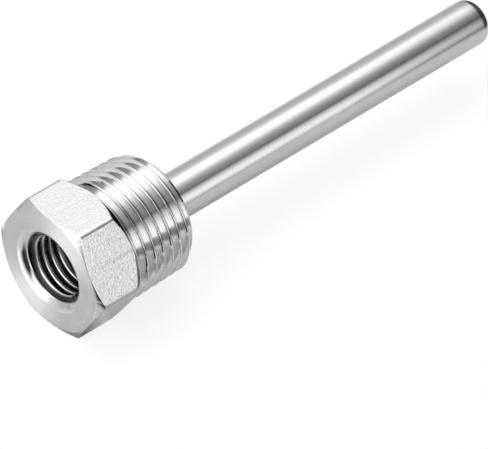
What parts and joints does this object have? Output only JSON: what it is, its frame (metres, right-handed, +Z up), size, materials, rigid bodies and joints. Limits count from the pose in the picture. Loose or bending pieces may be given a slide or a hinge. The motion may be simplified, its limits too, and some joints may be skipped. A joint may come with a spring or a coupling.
{
  "type": "thermowell",
  "caption": "Closed steel pocket for a temperature probe: hexagon head with a taper pipe thread, a tapped mouth and a welded stem tube.",
  "frame": {"origin": "centre of the shoulder plane where the taper thread starts", "axes": "+X along the axis from the open mouth to the closed tip, +Z up across two flats of the hexagon, +Y across two of its corners"},
  "size_m": [0.0943, 0.0248, 0.0218],
  "materials": {
    "machined_steel": "turned",
    "polished_steel": "polished",
    "weld_steel": "satin"
  },
  "bodies": {
    "root": {"threaded_head": "machined_steel", "stem_tube": "polished_steel", "weld_bead": "weld_steel"}
  },
  "joints": []
}
